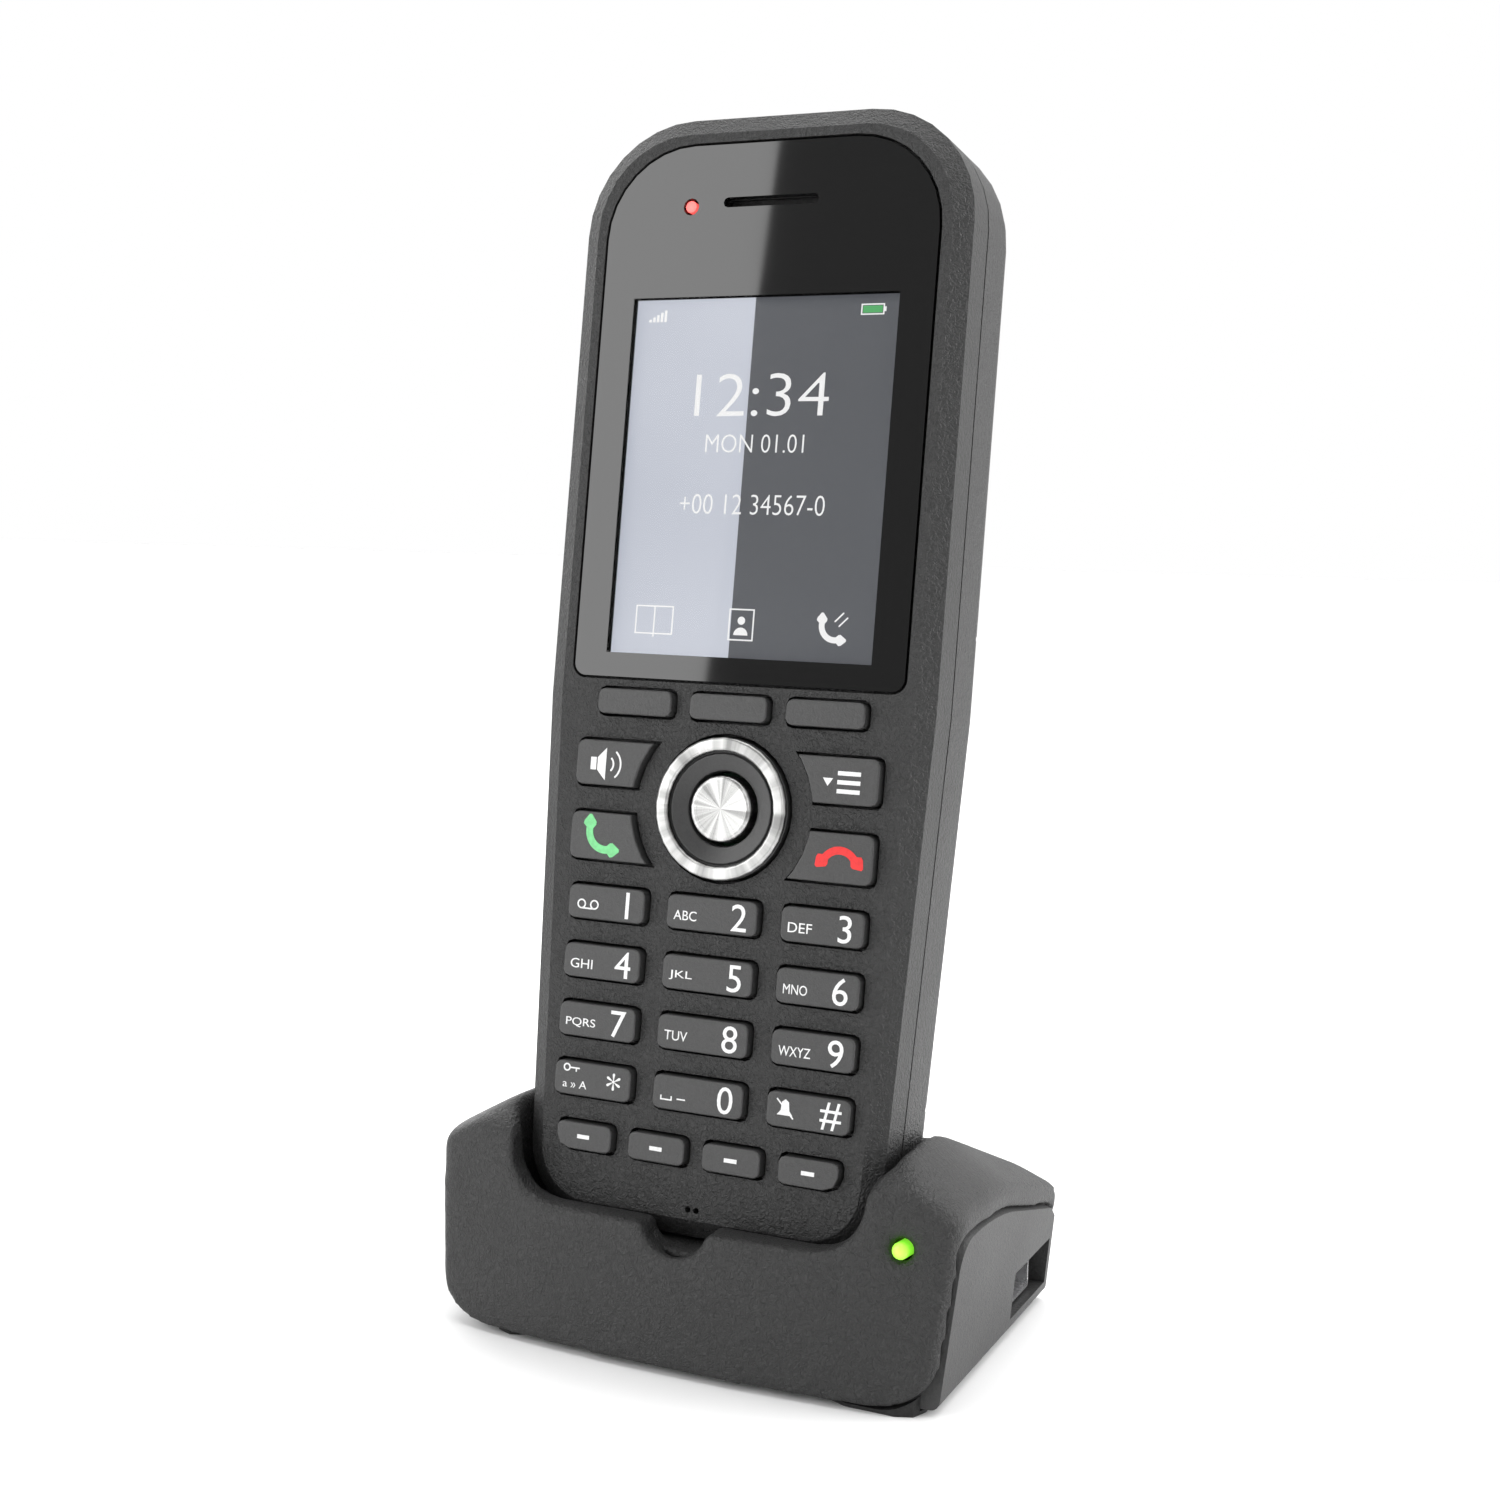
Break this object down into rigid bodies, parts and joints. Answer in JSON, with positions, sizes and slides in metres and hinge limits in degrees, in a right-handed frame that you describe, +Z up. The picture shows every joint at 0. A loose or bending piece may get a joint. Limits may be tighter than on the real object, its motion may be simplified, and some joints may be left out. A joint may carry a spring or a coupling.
{
  "type": "cordless phone with charging base",
  "caption": "Upright cordless telephone handset with colour display, keypad and navigation ring, leaning back in a low desktop charging base with a power socket on its side",
  "frame": {"origin": "centre of the underside of the charging base, on the table plane", "axes": "+Z up; the front with the display and keys faces -Y; +X is to the right seen from the front; the power socket is on the +X side"},
  "size_m": [0.0624, 0.0412, 0.1345],
  "materials": {
    "casing": "charcoal plastic with a fine leathery grain",
    "window": "gloss black glass",
    "screen": "lit colour screen behind the glass",
    "circuit_board": "green solder mask",
    "silicone": "grey silicone key mat",
    "key": "satin dark grey keys with white marks",
    "silver": "turned silver trim",
    "speaker": "black speaker body",
    "battery": "wrapped battery pack",
    "contact": "gold plated contacts",
    "red_light": "red light pipe",
    "steel": "bare steel",
    "base_casing": "charcoal plastic with a fine grain",
    "base_panel": "smoother dark grey side panels and floor",
    "rubber": "black rubber",
    "socket_tongue": "pale grey plastic tongue",
    "green_light": "lime green light dome"
  },
  "bodies": {
    "cradle": {"charge_light": "green_light", "cradle_base": "base_panel", "cradle_board": "circuit_board", "cradle_cover": "base_casing", "cradle_screw_left": "steel", "cradle_screw_right": "steel", "foot_front_left": "rubber", "foot_front_right": "rubber", "foot_rear_left": "rubber", "foot_rear_right": "rubber", "pin_spring_left": "steel", "pin_spring_right": "steel", "usb_socket": "steel", "usb_tongue": "socket_tongue"},
    "handset": {"battery_pack": "battery", "battery_terminals": "contact", "case_screw_left": "steel", "case_screw_right": "steel", "charge_contact_left": "contact", "charge_contact_right": "contact", "display_module": "screen", "display_window": "window", "earpiece": "speaker", "front_shell": "casing", "keypad_mat": "silicone", "loudspeaker": "speaker", "main_board": "circuit_board", "microphone": "speaker", "rear_shell": "casing", "status_light": "red_light"},
    "softkey_left": {"softkey_left": "key"},
    "softkey_middle": {"softkey_middle": "key"},
    "softkey_right": {"softkey_right": "key"},
    "speaker_key": {"speaker_key": "key"},
    "menu_key": {"menu_key": "key"},
    "talk_key": {"talk_key": "key"},
    "end_key": {"end_key": "key"},
    "key_1": {"key_1": "key"},
    "key_2": {"key_2": "key"},
    "key_3": {"key_3": "key"},
    "key_4": {"key_4": "key"},
    "key_5": {"key_5": "key"},
    "key_6": {"key_6": "key"},
    "key_7": {"key_7": "key"},
    "key_8": {"key_8": "key"},
    "key_9": {"key_9": "key"},
    "key_star": {"key_star": "key"},
    "key_0": {"key_0": "key"},
    "key_hash": {"key_hash": "key"},
    "function_key_1": {"function_key_1": "key"},
    "function_key_2": {"function_key_2": "key"},
    "function_key_3": {"function_key_3": "key"},
    "function_key_4": {"function_key_4": "key"},
    "ok_key": {"ok_key": "silver"},
    "ring_pad": {"nav_pad": "silicone"},
    "ring": {"nav_rocker": "key", "nav_ring": "silver"},
    "battery_door": {"battery_door": "casing"},
    "charge_pin_left": {"charge_pin_left": "contact"},
    "charge_pin_right": {"charge_pin_right": "contact"}
  },
  "joints": [
    {"name": "handset_lift", "type": "slide", "parent": "cradle", "child": "handset", "axis": [0, 0.1305, 0.9914], "range_m": [0, 0.045]},
    {"name": "press_softkey_left", "type": "slide", "parent": "handset", "child": "softkey_left", "axis": [0, 0.9914, -0.1305], "range_m": [0, 0.0004], "stiffness_N_per_m": 400, "springref_m": -0.0005},
    {"name": "press_softkey_middle", "type": "slide", "parent": "handset", "child": "softkey_middle", "axis": [0, 0.9914, -0.1305], "range_m": [0, 0.0004], "stiffness_N_per_m": 400, "springref_m": -0.0005},
    {"name": "press_softkey_right", "type": "slide", "parent": "handset", "child": "softkey_right", "axis": [0, 0.9914, -0.1305], "range_m": [0, 0.0004], "stiffness_N_per_m": 400, "springref_m": -0.0005},
    {"name": "press_speaker_key", "type": "slide", "parent": "handset", "child": "speaker_key", "axis": [0, 0.9914, -0.1305], "range_m": [0, 0.0004], "stiffness_N_per_m": 400, "springref_m": -0.0005},
    {"name": "press_menu_key", "type": "slide", "parent": "handset", "child": "menu_key", "axis": [0, 0.9914, -0.1305], "range_m": [0, 0.0004], "stiffness_N_per_m": 400, "springref_m": -0.0005},
    {"name": "press_talk_key", "type": "slide", "parent": "handset", "child": "talk_key", "axis": [0, 0.9914, -0.1305], "range_m": [0, 0.0004], "stiffness_N_per_m": 400, "springref_m": -0.0005},
    {"name": "press_end_key", "type": "slide", "parent": "handset", "child": "end_key", "axis": [0, 0.9914, -0.1305], "range_m": [0, 0.0004], "stiffness_N_per_m": 400, "springref_m": -0.0005},
    {"name": "press_key_1", "type": "slide", "parent": "handset", "child": "key_1", "axis": [0, 0.9914, -0.1305], "range_m": [0, 0.0004], "stiffness_N_per_m": 400, "springref_m": -0.0005},
    {"name": "press_key_2", "type": "slide", "parent": "handset", "child": "key_2", "axis": [0, 0.9914, -0.1305], "range_m": [0, 0.0004], "stiffness_N_per_m": 400, "springref_m": -0.0005},
    {"name": "press_key_3", "type": "slide", "parent": "handset", "child": "key_3", "axis": [0, 0.9914, -0.1305], "range_m": [0, 0.0004], "stiffness_N_per_m": 400, "springref_m": -0.0005},
    {"name": "press_key_4", "type": "slide", "parent": "handset", "child": "key_4", "axis": [0, 0.9914, -0.1305], "range_m": [0, 0.0004], "stiffness_N_per_m": 400, "springref_m": -0.0005},
    {"name": "press_key_5", "type": "slide", "parent": "handset", "child": "key_5", "axis": [0, 0.9914, -0.1305], "range_m": [0, 0.0004], "stiffness_N_per_m": 400, "springref_m": -0.0005},
    {"name": "press_key_6", "type": "slide", "parent": "handset", "child": "key_6", "axis": [0, 0.9914, -0.1305], "range_m": [0, 0.0004], "stiffness_N_per_m": 400, "springref_m": -0.0005},
    {"name": "press_key_7", "type": "slide", "parent": "handset", "child": "key_7", "axis": [0, 0.9914, -0.1305], "range_m": [0, 0.0004], "stiffness_N_per_m": 400, "springref_m": -0.0005},
    {"name": "press_key_8", "type": "slide", "parent": "handset", "child": "key_8", "axis": [0, 0.9914, -0.1305], "range_m": [0, 0.0004], "stiffness_N_per_m": 400, "springref_m": -0.0005},
    {"name": "press_key_9", "type": "slide", "parent": "handset", "child": "key_9", "axis": [0, 0.9914, -0.1305], "range_m": [0, 0.0004], "stiffness_N_per_m": 400, "springref_m": -0.0005},
    {"name": "press_key_star", "type": "slide", "parent": "handset", "child": "key_star", "axis": [0, 0.9914, -0.1305], "range_m": [0, 0.0004], "stiffness_N_per_m": 400, "springref_m": -0.0005},
    {"name": "press_key_0", "type": "slide", "parent": "handset", "child": "key_0", "axis": [0, 0.9914, -0.1305], "range_m": [0, 0.0004], "stiffness_N_per_m": 400, "springref_m": -0.0005},
    {"name": "press_key_hash", "type": "slide", "parent": "handset", "child": "key_hash", "axis": [0, 0.9914, -0.1305], "range_m": [0, 0.0004], "stiffness_N_per_m": 400, "springref_m": -0.0005},
    {"name": "press_function_key_1", "type": "slide", "parent": "handset", "child": "function_key_1", "axis": [0, 0.9914, -0.1305], "range_m": [0, 0.0004], "stiffness_N_per_m": 400, "springref_m": -0.0005},
    {"name": "press_function_key_2", "type": "slide", "parent": "handset", "child": "function_key_2", "axis": [0, 0.9914, -0.1305], "range_m": [0, 0.0004], "stiffness_N_per_m": 400, "springref_m": -0.0005},
    {"name": "press_function_key_3", "type": "slide", "parent": "handset", "child": "function_key_3", "axis": [0, 0.9914, -0.1305], "range_m": [0, 0.0004], "stiffness_N_per_m": 400, "springref_m": -0.0005},
    {"name": "press_function_key_4", "type": "slide", "parent": "handset", "child": "function_key_4", "axis": [0, 0.9914, -0.1305], "range_m": [0, 0.0004], "stiffness_N_per_m": 400, "springref_m": -0.0005},
    {"name": "press_ok_key", "type": "slide", "parent": "handset", "child": "ok_key", "axis": [0, 0.9914, -0.1305], "range_m": [0, 0.0004], "stiffness_N_per_m": 400, "springref_m": -0.0005},
    {"name": "tilt_ring_sideways", "type": "hinge", "parent": "handset", "child": "ring_pad", "pos_m": [0, -0.00608, 0.05891], "axis": [0, 0.1305, 0.9914], "range_deg": [-2, 2], "stiffness_Nm_per_rad": 0.02},
    {"name": "tilt_ring_up_down", "type": "hinge", "parent": "ring_pad", "child": "ring", "pos_m": [0, -0.00608, 0.05891], "axis": [1, 0, 0], "range_deg": [-2, 2], "stiffness_Nm_per_rad": 0.02},
    {"name": "open_battery_door", "type": "hinge", "parent": "handset", "child": "battery_door", "pos_m": [0, 0.00319, 0.02588], "axis": [-1, 0, 0], "range_deg": [0, 30]},
    {"name": "press_charge_pin_left", "type": "slide", "parent": "cradle", "child": "charge_pin_left", "axis": [0, -0.1305, -0.9914], "range_m": [0, 0.001], "stiffness_N_per_m": 300, "springref_m": -0.0005, "deforming": ["pin_spring_left"]},
    {"name": "press_charge_pin_right", "type": "slide", "parent": "cradle", "child": "charge_pin_right", "axis": [0, -0.1305, -0.9914], "range_m": [0, 0.001], "stiffness_N_per_m": 300, "springref_m": -0.0005, "deforming": ["pin_spring_right"]}
  ]
}
